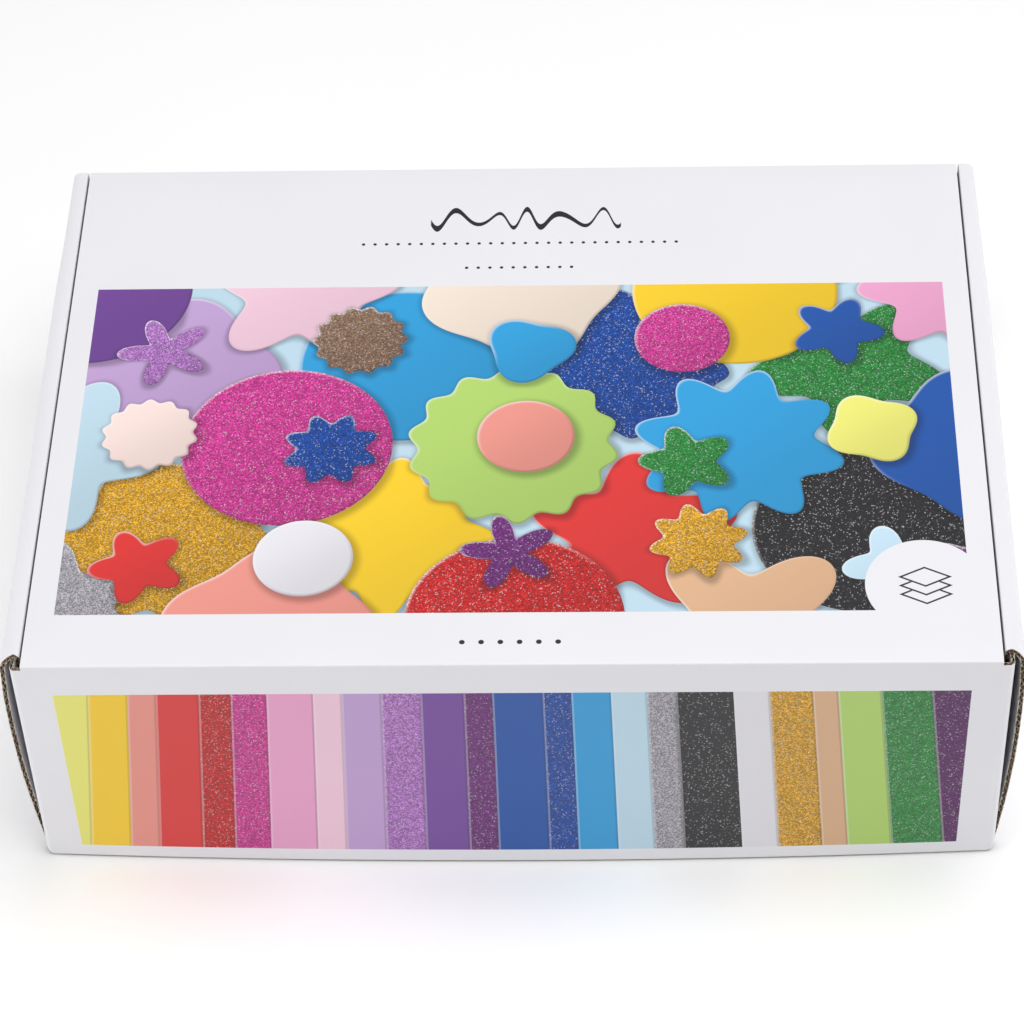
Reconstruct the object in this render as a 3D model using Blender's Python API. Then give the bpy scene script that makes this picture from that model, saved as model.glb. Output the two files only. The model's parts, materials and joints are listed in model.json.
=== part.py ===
"""A closed mailer box of thin corrugated board, filled with A4 sheets of craft foam.

The box is folded from one die-cut blank. Its lid hinges on the back wall's top
edge and lies between the rolled tops of the double side walls. The lid's front
flap hangs in front of the front wall, and an ear on each end of the flap tucks
into the side wall beside it. The foam sheets lie flat in one stack inside.

Metres, +Z up, the front faces -Y. The origin is the middle of the overall box,
on the surface that it stands on.
"""

from math import cos, hypot, pi, sin, sqrt

import bmesh
import bpy

MM = 0.001

# Board
BOARD = 1.4 * MM
FOLD_GAP = 0.3 * MM

# Foam sheets
SHEET_LENGTH = 297 * MM
SHEET_WIDTH = 210 * MM
SHEET_THICKNESS = 1.7 * MM
SHEET_GAP = 0.3 * MM
SHEET_COUNT = 40

# Room round the stack of sheets
SIDE_CLEARANCE = 2.7 * MM
END_CLEARANCE = 5.95 * MM
HEAD_ROOM = 14.5 * MM

# Side walls: an outer panel that bulges, a rolled top and an inner panel
BASE_SLACK = 0.5 * MM
SIDE_BULGE = 4.1 * MM
BULGE_DROP = 27.6 * MM
ROLL_DROP = 5.5 * MM
ROLL_INNER_RADIUS = 1.5 * MM
SHOULDER_STEP = 1.8 * MM
SHOULDER_DROP = 5.6 * MM
OUTER_SETBACK = 2.3 * MM
ROLL_SLANT = 3.2 * MM
BACK_SETBACK = 1 * MM

# Lid, its front flap and the flap's ears
LID_SLOT = 0.6 * MM
FLAP_LIFT = 0.7 * MM
FLAP_BOW = 3 * MM
FLAP_CORNER = 3 * MM
EAR_LENGTH = 40 * MM
EAR_TOP_DROP = 1.4 * MM
EAR_LIFT = 6.6 * MM
EAR_CORNER = 10 * MM

# Dust flaps on the ends of the front and back walls
DUST_FLAP_LENGTH = 45 * MM
DUST_FLAP_DROP = 1.4 * MM

ARC_STEPS = 6
BULGE_STEPS = 7
BOW_COLUMNS = 12
BOW_ROWS = 4

# Half widths, from the stack outwards: inner panel, dust flap, ear, outer panel
PANEL_INNER = SHEET_LENGTH / 2 + SIDE_CLEARANCE
PANEL_OUTER = PANEL_INNER + BOARD
DUST_INNER = PANEL_OUTER + FOLD_GAP
DUST_OUTER = DUST_INNER + BOARD
EAR_INNER = DUST_OUTER + FOLD_GAP
EAR_OUTER = EAR_INNER + BOARD
BASE_HALF = DUST_OUTER + BASE_SLACK + BOARD
ROLL_INNER = PANEL_INNER + SHOULDER_STEP
LID_HALF = ROLL_INNER - LID_SLOT

# Heights
SHEET_PITCH = SHEET_THICKNESS + SHEET_GAP
LID_UNDERSIDE = BOARD + SHEET_GAP + SHEET_COUNT * SHEET_PITCH + HEAD_ROOM
HEIGHT = LID_UNDERSIDE + BOARD
HINGE_HEIGHT = HEIGHT - BOARD / 2
WALL_TOP = LID_UNDERSIDE - FOLD_GAP
ROLL_START = HEIGHT - ROLL_DROP
BULGE_HEIGHT = HEIGHT - BULGE_DROP
SHOULDER_HEIGHT = HEIGHT - ROLL_INNER_RADIUS - SHOULDER_DROP
DUST_TOP = SHOULDER_HEIGHT - DUST_FLAP_DROP

# Places along Y. The front crease is set back from the overall box by the flap's bow
WALL_DEPTH = SHEET_WIDTH + 2 * END_CLEARANCE + 2 * BOARD
DEPTH = FLAP_BOW + BOARD + FOLD_GAP + WALL_DEPTH
BACK = DEPTH / 2
FRONT_WALL = BACK - WALL_DEPTH
FRONT = FRONT_WALL - FOLD_GAP - BOARD
LID_HINGE_Y = BACK - BOARD / 2
FLAP_HINGE_Y = FRONT + BOARD / 2

WHITE = (0.86, 0.86, 0.88)
BOARD_ROUGHNESS = 0.45
FOAM_ROUGHNESS = 0.85
SHEET_COLOURS = (
    (0.86, 0.10, 0.08),
    (0.95, 0.45, 0.35),
    (0.98, 0.78, 0.10),
    (0.97, 0.93, 0.45),
    (0.45, 0.74, 0.25),
    (0.05, 0.35, 0.12),
    (0.10, 0.55, 0.85),
    (0.03, 0.16, 0.55),
    (0.40, 0.25, 0.70),
    (0.75, 0.60, 0.86),
    (0.93, 0.40, 0.66),
    (0.97, 0.80, 0.84),
    (0.92, 0.80, 0.62),
    (0.60, 0.42, 0.22),
    (0.03, 0.03, 0.04),
    (0.90, 0.90, 0.90),
)


def clear_scene():
    for old in list(bpy.data.objects):
        bpy.data.objects.remove(old, do_unlink=True)


def principled(name, colour, roughness):
    material = bpy.data.materials.new(name)
    material.use_nodes = True
    shader = material.node_tree.nodes["Principled BSDF"]
    shader.inputs["Base Color"].default_value = (*colour, 1)
    shader.inputs["Roughness"].default_value = roughness
    shader.inputs["Metallic"].default_value = 0
    return material


def add_object(name, bm, material, pivot=(0, 0, 0)):
    """An object whose origin is the pivot, made of the mesh given in world coordinates."""
    bmesh.ops.recalc_face_normals(bm, faces=bm.faces)
    bmesh.ops.translate(bm, verts=bm.verts, vec=[-value for value in pivot])
    mesh = bpy.data.meshes.new(name)
    bm.to_mesh(mesh)
    bm.free()
    mesh.materials.append(material)
    thing = bpy.data.objects.new(name, mesh)
    thing.location = pivot
    bpy.context.scene.collection.objects.link(thing)
    return thing


def block(low, high):
    """A closed box between two corners."""
    bm = bmesh.new()
    bmesh.ops.create_cube(bm, size=1)
    size = [b - a for a, b in zip(low, high)]
    centre = [(a + b) / 2 for a, b in zip(low, high)]
    bmesh.ops.scale(bm, vec=size, verts=bm.verts)
    bmesh.ops.translate(bm, vec=centre, verts=bm.verts)
    return bm


def grid_shell(outer, inner):
    """A closed sheet between two equal grids of points, outer[row][column] and inner[row][column]."""
    bm = bmesh.new()
    rows = len(outer)
    columns = len(outer[0])
    top = [[bm.verts.new(point) for point in row] for row in outer]
    bottom = [[bm.verts.new(point) for point in row] for row in inner]
    for r in range(rows - 1):
        for c in range(columns - 1):
            bm.faces.new((top[r][c], top[r][c + 1], top[r + 1][c + 1], top[r + 1][c]))
            bm.faces.new((bottom[r][c], bottom[r + 1][c], bottom[r + 1][c + 1], bottom[r][c + 1]))
    rim = [(0, c) for c in range(columns - 1)]
    rim += [(r, columns - 1) for r in range(rows - 1)]
    rim += [(rows - 1, c) for c in range(columns - 1, 0, -1)]
    rim += [(r, 0) for r in range(rows - 1, 0, -1)]
    for here, there in zip(rim, rim[1:] + rim[:1]):
        a, b = top[here[0]][here[1]], top[there[0]][there[1]]
        c, d = bottom[there[0]][there[1]], bottom[here[0]][here[1]]
        bm.faces.new((a, b, c, d))
    return bm


def outline_slab(outline, extrusion):
    """A closed slab: a flat outline of points, extruded by one vector."""
    bm = bmesh.new()
    face = bm.faces.new([bm.verts.new(point) for point in outline])
    grown = bmesh.ops.extrude_face_region(bm, geom=[face])
    moved = [item for item in grown["geom"] if isinstance(item, bmesh.types.BMVert)]
    bmesh.ops.translate(bm, verts=moved, vec=extrusion)
    return bm


def arc(centre, radii, start, end, steps=ARC_STEPS):
    """Points on an arc, its angles in quarter turns and its two radii along the two axes."""
    angles = [(start + (end - start) * step / steps) * pi / 2 for step in range(steps + 1)]
    return [(centre[0] + radii[0] * cos(a), centre[1] + radii[1] * sin(a)) for a in angles]


def unit_normal(a, b):
    length = hypot(b[0] - a[0], b[1] - a[1])
    return (-(b[1] - a[1]) / length, (b[0] - a[0]) / length)


def offset_path(path, distance):
    """The path moved sideways to its left by a distance, with mitred corners."""
    normals = [unit_normal(a, b) for a, b in zip(path, path[1:])]
    moved = []
    for (x, z), first, second in zip(path, normals[:1] + normals, normals + normals[-1:]):
        across = (first[0] + second[0], first[1] + second[1])
        mitre = 2 * distance / (across[0] ** 2 + across[1] ** 2)
        moved.append((x + across[0] * mitre, z + across[1] * mitre))
    return moved


def outer_panel_x(z):
    """Half the box's width at a height. The outer panel stands out most at BULGE_HEIGHT."""
    return BASE_HALF + SIDE_BULGE * (1 - (1 - z / BULGE_HEIGHT) ** 2)


def right_profile():
    """The outside of the folded board from the middle of the base to the inner panel's foot.

    Each point is x, z and the places along Y of the board's front and back ends there.
    """
    widest = outer_panel_x(BULGE_HEIGHT)
    slant = ROLL_SLANT / (widest - PANEL_INNER)
    inner_x = ROLL_INNER + ROLL_INNER_RADIUS
    roll_radii = (outer_panel_x(ROLL_START) - inner_x, ROLL_DROP)
    inner_radii = (ROLL_INNER_RADIUS, ROLL_INNER_RADIUS)
    inner_back = BACK - BOARD - FOLD_GAP
    panel = [(outer_panel_x(z), z) for z in steps_to(ROLL_START, BULGE_STEPS)]
    panel += arc((inner_x, ROLL_START), roll_radii, 0, 1)
    fold = arc((inner_x, HEIGHT - ROLL_INNER_RADIUS), inner_radii, 1, 2)[1:]
    fold += [(PANEL_INNER, SHOULDER_HEIGHT), (PANEL_INNER, BOARD + FOLD_GAP)]
    path = [(0, 0, FRONT_WALL + BOARD / 2, BACK - BOARD / 2)]
    for x, z in panel + fold:
        front = FRONT + OUTER_SETBACK + slant * (widest - x)
        back = BACK - BACK_SETBACK if z > WALL_TOP or x > DUST_OUTER else inner_back
        path.append((x, z, front, back))
    return path


def steps_to(height, count):
    return [height * step / count for step in range(count)]


def folded_base():
    """Base, outer panels, rolled tops and inner panels: one strip of board, folded."""
    right = right_profile()
    left = [(-x, z, front, back) for x, z, front, back in reversed(right[1:])]
    profile = left + right
    outside = [(x, z) for x, z, _, _ in profile]
    inside = offset_path(outside, BOARD)
    outer = [[], []]
    inner = [[], []]
    for (x, z), (u, w), (_, _, *ends) in zip(outside, inside, profile):
        for row, y in enumerate(ends):
            outer[row].append((x, y, z))
            inner[row].append((u, y, w))
    return grid_shell(outer, inner)


def end_wall(outer_face, inward):
    """A front or back wall with a dust flap folded back on each end. Inward is +1 or -1 along Y."""
    low, high = sorted((outer_face, outer_face + inward * BOARD))
    parts = [block((-DUST_OUTER, low, 0), (DUST_OUTER, high, WALL_TOP))]
    low, high = sorted((outer_face + inward * BOARD / 2, outer_face + inward * DUST_FLAP_LENGTH))
    for x in (-DUST_OUTER, DUST_INNER):
        parts.append(block((x, low, BOARD + FOLD_GAP), (x + BOARD, high, DUST_TOP)))
    return parts


def union(target, others):
    """Joins the other objects to the target and removes them."""
    for other in others:
        modifier = target.modifiers.new("join", "BOOLEAN")
        modifier.operation = "UNION"
        modifier.object = other
    bpy.context.view_layer.update()
    graph = bpy.context.evaluated_depsgraph_get()
    joined = bpy.data.meshes.new_from_object(target.evaluated_get(graph), depsgraph=graph)
    target.modifiers.clear()
    target.data = joined
    for other in others:
        bpy.data.objects.remove(other, do_unlink=True)


def make_tray(board):
    """Everything of the box but its lid, flap and ears."""
    tray = add_object("tray", folded_base(), board)
    walls = end_wall(FRONT_WALL, 1) + end_wall(BACK, -1)
    union(tray, [add_object("wall", bm, board) for bm in walls])
    return tray


def nose(y, facing):
    """Half a circle one board thick about a crease line, from its top to its bottom."""
    radii = (facing * BOARD / 2, BOARD / 2)
    return arc((y, HINGE_HEIGHT), radii, 1, -1)


def make_lid(board):
    """The lid panel, its back and front ends rounded about the two crease lines."""
    outline = nose(LID_HINGE_Y, 1) + nose(FLAP_HINGE_Y, -1)[::-1]
    end = [(-LID_HALF, y, z) for y, z in outline]
    slab = outline_slab(end, (2 * LID_HALF, 0, 0))
    return add_object("lid", slab, board, (0, LID_HINGE_Y, HINGE_HEIGHT))


def flap_columns():
    """Places across the flap, closer together along its rounded bottom corners."""
    flat_half = EAR_OUTER - FLAP_CORNER
    corner = arc((flat_half, 0), (FLAP_CORNER, FLAP_CORNER), 0, 1, ARC_STEPS // 2)
    right = [x for x, _ in corner]
    middle = [flat_half * (1 - 2 * c / BOW_COLUMNS) for c in range(1, BOW_COLUMNS)]
    return right + middle + [-x for x in reversed(right)]


def flap_bottom(x):
    """Height of the flap's lower edge, which its rounded corners raise."""
    into_corner = max(abs(x) - (EAR_OUTER - FLAP_CORNER), 0)
    return FLAP_LIFT + FLAP_CORNER - sqrt(max(FLAP_CORNER**2 - into_corner**2, 0))


def flap_bow(x, z):
    """How far the flap stands forward: not at its crease or its ends, most at mid bottom."""
    across = 1 - (x / EAR_OUTER) ** 2
    down = (WALL_TOP - z) / (WALL_TOP - FLAP_LIFT)
    return FLAP_BOW * across * down**2


def make_front_flap(board):
    """The panel in front of the front wall."""
    outer = []
    for x in flap_columns():
        fall = WALL_TOP - flap_bottom(x)
        heights = [WALL_TOP - fall * row / BOW_ROWS for row in range(BOW_ROWS + 1)]
        outer.append([(x, FRONT - flap_bow(x, z), z) for z in heights])
    inner = [[(x, y + BOARD, z) for x, y, z in column] for column in outer]
    return add_object("front_flap", grid_shell(outer, inner), board, (0, FLAP_HINGE_Y, HINGE_HEIGHT))


def ear_reach():
    """How far below the crease an ear may reach and still swing out beside the outer panel."""
    needed = EAR_OUTER + FOLD_GAP + BOARD - BASE_HALF
    clear_height = BULGE_HEIGHT * (1 - sqrt(1 - needed / SIDE_BULGE))
    return HINGE_HEIGHT - clear_height - EAR_LIFT


def ear_outline():
    """The ear's outline, as depth behind the crease and drop below it. Its foot is an arc."""
    start = BOARD / 2 + FOLD_GAP
    reach = ear_reach()
    corner = (EAR_LENGTH - EAR_CORNER, EAR_TOP_DROP + EAR_CORNER)
    depths = [EAR_LENGTH - (EAR_LENGTH - start) * step / ARC_STEPS for step in range(ARC_STEPS + 1)]
    foot = [(depth, sqrt(reach**2 - depth**2)) for depth in depths]
    return [(start, EAR_TOP_DROP)] + arc(corner, (EAR_CORNER, EAR_CORNER), -1, 0) + foot


def make_ear(name, x, board):
    """A tongue folded back from the flap's end, between the dust flap and the outer panel."""
    outline = [(x, FLAP_HINGE_Y + depth, HINGE_HEIGHT - drop) for depth, drop in ear_outline()]
    slab = outline_slab(outline, (BOARD, 0, 0))
    return add_object(name, slab, board, (0, FLAP_HINGE_Y, HINGE_HEIGHT))


def make_sheets():
    """The stack of foam sheets, centred between the front and back walls."""
    middle = (FRONT_WALL + BACK) / 2
    low_x, high_x = -SHEET_LENGTH / 2, SHEET_LENGTH / 2
    low_y, high_y = middle - SHEET_WIDTH / 2, middle + SHEET_WIDTH / 2
    for index in range(SHEET_COUNT):
        colour = SHEET_COLOURS[index % len(SHEET_COLOURS)]
        material = principled(f"foam_{index + 1:02d}", colour, FOAM_ROUGHNESS)
        z = BOARD + SHEET_GAP + index * SHEET_PITCH
        slab = block((low_x, low_y, z), (high_x, high_y, z + SHEET_THICKNESS))
        add_object(f"foam_sheet_{index + 1:02d}", slab, material)


def make_box():
    make_tray(principled("tray_board", WHITE, BOARD_ROUGHNESS))
    make_lid(principled("lid_board", WHITE, BOARD_ROUGHNESS))
    make_front_flap(principled("flap_board", WHITE, BOARD_ROUGHNESS))
    make_ear("left_ear", -EAR_OUTER, principled("left_ear_board", WHITE, BOARD_ROUGHNESS))
    make_ear("right_ear", EAR_INNER, principled("right_ear_board", WHITE, BOARD_ROUGHNESS))


clear_scene()
make_box()
make_sheets()
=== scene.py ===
# The looks of a closed mailer box full of craft foam sheets: board with its fluting,
# the printed lid and flap, the foam sheets, and the camera, light and floor.
# Metres, in the frame's own coordinates: +Z up, the front faces -Y.

import json
import math
from collections import namedtuple

import bmesh
import bpy
from mathutils import Matrix, Vector, noise


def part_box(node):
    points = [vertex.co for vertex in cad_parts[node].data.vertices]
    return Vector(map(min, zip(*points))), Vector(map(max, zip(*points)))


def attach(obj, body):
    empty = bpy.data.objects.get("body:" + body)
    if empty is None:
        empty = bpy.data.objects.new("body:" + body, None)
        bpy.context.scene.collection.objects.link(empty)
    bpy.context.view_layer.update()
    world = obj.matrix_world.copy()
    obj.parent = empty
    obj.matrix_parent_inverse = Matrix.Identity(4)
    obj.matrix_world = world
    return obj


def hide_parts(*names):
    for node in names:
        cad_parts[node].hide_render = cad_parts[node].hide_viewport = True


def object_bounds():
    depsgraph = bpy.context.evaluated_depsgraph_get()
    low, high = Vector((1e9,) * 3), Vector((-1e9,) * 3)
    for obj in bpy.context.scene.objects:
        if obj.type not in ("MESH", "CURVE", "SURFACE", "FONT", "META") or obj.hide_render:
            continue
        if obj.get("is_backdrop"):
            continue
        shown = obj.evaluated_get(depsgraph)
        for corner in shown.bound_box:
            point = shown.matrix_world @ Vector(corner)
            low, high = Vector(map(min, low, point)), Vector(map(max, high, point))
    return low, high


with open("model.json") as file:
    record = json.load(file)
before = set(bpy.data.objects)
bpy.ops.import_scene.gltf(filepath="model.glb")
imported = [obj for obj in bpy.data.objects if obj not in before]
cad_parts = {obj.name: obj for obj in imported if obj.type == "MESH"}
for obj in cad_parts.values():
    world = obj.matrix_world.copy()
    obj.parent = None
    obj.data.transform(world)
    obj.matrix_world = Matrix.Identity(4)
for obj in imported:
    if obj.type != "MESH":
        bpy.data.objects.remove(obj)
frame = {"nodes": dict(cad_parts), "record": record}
cad_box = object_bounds()

MM = 0.001

# Board: two liners with a fluted medium between them. PRESSED and FRAYED say how much thicker it
# gets, as a share, along its cut ends and along the sides' torn front ends
LINER = 0.2 * MM
MEDIUM = 0.16 * MM
FLUTE_PITCH = 3.2 * MM
FLUTE_STEP = FLUTE_PITCH / 8
PRESSED = -0.12
FRAYED = 0.12
END_LENGTH = 1.2 * MM
END_ROWS = (0, 0.3 * MM, 0.7 * MM, 1.2 * MM)
MEDIUM_INSET = 0.05 * MM
TEAR = 0.22 * MM
TEAR_LENGTH = 1.5 * MM
FOLD_RADIUS = 1.7 * MM
FOLD_GAP = 0.3 * MM
SEAT_GAP = 0.02 * MM

# Side walls
LID_SPARE = 0.15 * MM
LID_SLOT = 0.65 * MM
BASE_SLACK = 0.5 * MM
SIDE_BULGE = 4.1 * MM
BULGE_DROP = 27.6 * MM
ROLL_DROP = 5.5 * MM
ROLL_INNER_RADIUS = 0.8 * MM
SHOULDER_DROP = 5.6 * MM
SHOULDER_LENGTH = 3 * MM
OUTER_SETBACK = 2.3 * MM
ROLL_SLANT = 3.2 * MM
ROLL_LEAN = 1.4 * MM
ROLL_LEAN_HEIGHT = 20 * MM
ROLL_CURL = 1.6 * MM
ROLL_CURL_LENGTH = 2.4 * MM
BACK_SETBACK = 0.2 * MM
BACK_TAPER = 1.0 * MM
BACK_TAPER_LENGTH = 60 * MM
SQUARE_LENGTH = 22 * MM
SQUARENESS = 0.75

# Flaps
FLAP_SPARE = 0.2 * MM
FLAP_BOW = 3.6 * MM
FLAP_CORNER = 3 * MM
EAR_CORNER = 10 * MM
DUST_FLAP_LENGTH = 45 * MM
DUST_FLAP_DROP = 1.4 * MM
DUST_CORNER = 10 * MM

# Where the pictures are printed: the lid's in x and y, the flap's in x and z
LID_PICTURE = ((-144 * MM, -90.5 * MM), (144 * MM, 55.5 * MM))
FLAP_PICTURE = ((-144 * MM, 6 * MM), (143.5 * MM, 83.8 * MM))

# Places read from the frame
lid_low, lid_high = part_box("lid")
flap_low, flap_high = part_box("front_flap")
ear_low, ear_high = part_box("right_ear")
BOARD = lid_high[2] - lid_low[2]
HEIGHT = lid_high[2]
HINGE_HEIGHT = HEIGHT - BOARD / 2
FRONT = lid_low[1]
BACK = lid_high[1]
FLAP_HINGE_Y = FRONT + BOARD / 2
LID_HINGE_Y = BACK - BOARD / 2
LID_HALF = lid_high[0] + LID_SPARE
FLAP_HALF = flap_high[0] + FLAP_SPARE
FLAP_BOTTOM = flap_low[2]
WALL_TOP = flap_high[2]
EAR_START = ear_low[1]
EAR_TOP = ear_high[2]
EAR_END = ear_high[1]
EAR_REACH = math.hypot(HINGE_HEIGHT - ear_low[2], EAR_START - FLAP_HINGE_Y)

# Places that follow from them
FRONT_WALL = FRONT + BOARD + FOLD_GAP
DUST_OUTER = ear_low[0] - FOLD_GAP
BASE_HALF = DUST_OUTER + BASE_SLACK + BOARD
ROLL_INNER = LID_HALF + LID_SLOT
ROLL_MIDDLE = ROLL_INNER + ROLL_INNER_RADIUS
PANEL_INNER = DUST_OUTER - 2 * BOARD - FOLD_GAP
ROLL_START = HEIGHT - ROLL_DROP
BULGE_HEIGHT = HEIGHT - BULGE_DROP
SHOULDER_HEIGHT = HEIGHT - ROLL_INNER_RADIUS - SHOULDER_DROP
DUST_TOP = SHOULDER_HEIGHT - DUST_FLAP_DROP
FOOT = BOARD + FOLD_GAP

# Material slots of a board mesh
OUTSIDE, INSIDE, CUT, PICTURE, MARKED = range(5)

Station = namedtuple("Station", "place inward run")


# Paths and rows of points

def arc(centre, radii, start, end, steps):
    """Points on an arc, its angles in quarter turns and its two radii along the two axes."""
    angles = [(start + (end - start) * k / steps) * math.pi / 2 for k in range(steps + 1)]
    return [(centre[0] + radii[0] * math.cos(a), centre[1] + radii[1] * math.sin(a)) for a in angles]


def line(start, end, step):
    """Points along a straight line, no further apart than a step."""
    count = max(1, math.ceil(math.dist(start, end) / step - 1e-6))
    return [tuple(a + (b - a) * k / count for a, b in zip(start, end)) for k in range(count + 1)]


def span(marks, step):
    """Values from the first mark to the last, through each mark, no further apart than a step."""
    values = []
    for low, high in zip(marks, marks[1:]):
        values += [point[0] for point in line((low,), (high,), step)][:-1]
    return values + [marks[-1]]


def spread(low, high, count):
    return [low + (high - low) * k / count for k in range(count + 1)]


def with_ends(low, high, count):
    """Evenly spread rows, and the closer rows that a pressed or frayed end needs at both ends."""
    first = [low + row for row in END_ROWS]
    last = [high - row for row in reversed(END_ROWS)]
    return first + spread(first[-1], last[0], count)[1:-1] + last


def smooth(value):
    value = min(max(value, 0), 1)
    return value * value * (3 - 2 * value)


def blend(a, b, share):
    return a + (b - a) * share


def join(*parts):
    """The parts of a path as one path, without the points that they share."""
    path = list(parts[0])
    for part in parts[1:]:
        path += [point for point in part if math.dist(point, path[-1]) > 0.01 * MM]
    return path


def mirrored(path):
    """A path that ends at x = 0, with its mirror image after it."""
    return path + [(-a, b) for a, b in reversed(path[:-1])]


def stations(path, hand, closed=False):
    """A path's points with their inward normals, on its left (hand 1) or right (hand -1)."""
    count = len(path)
    result = []
    run = 0
    for index, point in enumerate(path):
        before = path[index - 1] if closed or index else point
        after = path[(index + 1) % count] if closed or index < count - 1 else point
        along = (after[0] - before[0], after[1] - before[1])
        size = math.hypot(*along)
        inward = (-along[1] / size * hand, along[0] / size * hand)
        run += math.dist(point, path[index - 1]) if index else 0
        result.append(Station(point, inward, run))
    return result


def even_path(path, step):
    """The same path with its points evenly spaced along it."""
    runs = [0]
    for a, b in zip(path, path[1:]):
        runs.append(runs[-1] + math.dist(a, b))
    count = max(1, round(runs[-1] / step))
    points = []
    leg = 0
    for wanted in spread(0, runs[-1], count):
        while leg < len(runs) - 2 and runs[leg + 1] < wanted:
            leg += 1
        share = (wanted - runs[leg]) / (runs[leg + 1] - runs[leg])
        points.append(tuple(a + (b - a) * share for a, b in zip(path[leg], path[leg + 1])))
    return points


# Closed sheets of board

def fullness(t, ts, ends):
    """The board's thickness at t as a share of the usual. ends says how much each end adds."""
    near = (t - ts[0], ts[-1] - t)
    return 1 + sum(end * (1 - smooth(gap / END_LENGTH)) for end, gap in zip(ends, near))


class Shape:
    """Points, faces, flat board coordinates and material slots for one mesh."""

    def __init__(self):
        self.points = []
        self.flat = []
        self.faces = []
        self.skins = []

    def grid(self, rows, flat):
        first = len(self.points)
        width = len(rows[0])
        for row, flat_row in zip(rows, flat):
            self.points += row
            self.flat += flat_row
        return [[first + r * width + c for c in range(width)] for r in range(len(rows))]

    def face(self, corners, skin):
        self.faces.append(corners)
        self.skins.append(skin)

    def shell(self, front, back, flat, skins, closed=False):
        """A solid sheet between two equal grids of points.

        A closed one runs round, so its last column is joined to its first.
        """
        a = self.grid(front, flat)
        b = self.grid(back, flat)
        height, width = len(a), len(a[0])
        columns = [(c, (c + 1) % width) for c in range(width if closed else width - 1)]
        for r in range(height - 1):
            for c, d in columns:
                self.face((a[r][c], a[r][d], a[r + 1][d], a[r + 1][c]), skins[0])
                self.face((b[r][c], b[r + 1][c], b[r + 1][d], b[r][d]), skins[1])
        for c, d in columns:
            self.face((a[0][c], b[0][c], b[0][d], a[0][d]), CUT)
            self.face((a[-1][c], a[-1][d], b[-1][d], b[-1][c]), CUT)
        if not closed:
            for r in range(height - 1):
                self.face((a[r][0], a[r + 1][0], b[r + 1][0], b[r][0]), CUT)
                self.face((a[r][-1], b[r][-1], b[r + 1][-1], a[r + 1][-1]), CUT)

    def layer(self, path, rows, place, depths, skins, ends=(0, 0), closed=False):
        """One layer of the board along a path of stations.

        depths(station) gives how deep its two faces lie under the outside.
        rows(station, depth) gives the places along the path's other direction.
        place(a, b, t) gives the point in space.
        ends says how much thicker the board gets at its first and at its last row.
        """
        sides = []
        for side in range(2):
            columns = []
            for station in path:
                depth = depths(station)[side]
                ts = rows(station, depth)
                column = []
                for t in ts:
                    held = depth * fullness(t, ts, ends)
                    a = station.place[0] + station.inward[0] * held
                    b = station.place[1] + station.inward[1] * held
                    column.append(place(a, b, t))
                columns.append(column)
            sides.append([list(row) for row in zip(*columns)])
        flat = [list(row) for row in zip(*[[(s.run, t) for t in rows(s, 0)] for s in path])]
        self.shell(sides[0], sides[1], flat, skins, closed)

    def liners(self, path, rows, place, ends=(0, 0)):
        self.layer(path, rows, place, lambda s: (0, LINER), (OUTSIDE, INSIDE), ends)
        self.layer(path, rows, place, lambda s: (BOARD - LINER, BOARD), (INSIDE, OUTSIDE), ends)

    def fluting(self, path, rows, place, ends=(0, 0), start=0):
        """The medium: a wave that touches both liners, with its flutes across the path."""
        swing = BOARD / 2 - LINER - MEDIUM / 2

        def wave(station):
            turn = 2 * math.pi * (station.run + start) / FLUTE_PITCH
            middle = BOARD / 2 + swing * math.sin(turn)
            return middle - MEDIUM / 2, middle + MEDIUM / 2

        def inset_rows(station, depth):
            ts = list(rows(station, depth))
            ts[0] += MEDIUM_INSET * bool(ends[0])
            ts[-1] -= MEDIUM_INSET * bool(ends[1])
            return ts

        self.layer(path, inset_rows, place, wave, (INSIDE, INSIDE), ends)

    def print_on(self, skin, inside):
        """Gives another skin to the outside faces whose middle lies inside a printed area."""
        for index, corners in enumerate(self.faces):
            if self.skins[index] != OUTSIDE:
                continue
            points = [self.points[corner] for corner in corners]
            if inside(*(sum(values) / len(values) for values in zip(*points))):
                self.skins[index] = skin

    def build(self, name, materials):
        mesh = bpy.data.meshes.new(name)
        mesh.from_pydata(self.points, [], self.faces)
        mesh.polygons.foreach_set("material_index", self.skins)
        layer = mesh.uv_layers.new(name="Board")
        for loop in mesh.loops:
            layer.data[loop.index].uv = self.flat[loop.vertex_index]
        bm = bmesh.new()
        bm.from_mesh(mesh)
        bmesh.ops.recalc_face_normals(bm, faces=bm.faces)
        bm.to_mesh(mesh)
        bm.free()
        for material in materials:
            mesh.materials.append(material)
        mesh.shade_smooth()
        mesh.set_sharp_from_angle(angle=math.radians(42))
        thing = bpy.data.objects.new(name, mesh)
        bpy.context.scene.collection.objects.link(thing)
        return thing


class Board:
    """One piece of board: its liners, and the fluting between them."""

    def __init__(self):
        self.skin = Shape()
        self.medium = Shape()

    def panel(self, path, hand, rows, place, ends=(0, 0), start=0):
        """Board along a path, on its left (hand 1) or right (hand -1). start shifts the flutes."""
        self.skin.liners(stations(path, hand), rows, place, ends)
        even = even_path(path, FLUTE_STEP)
        self.medium.fluting(stations(even, hand), rows, place, ends, start)

    def build(self, name, materials):
        liners = self.skin.build(name + "_liners", materials)
        return liners, self.medium.build(name + "_fluting", materials)


# Tray: base with side walls, front and back walls

def outer_panel_x(z):
    return BASE_HALF + SIDE_BULGE * (1 - (1 - z / BULGE_HEIGHT) ** 2)


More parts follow.
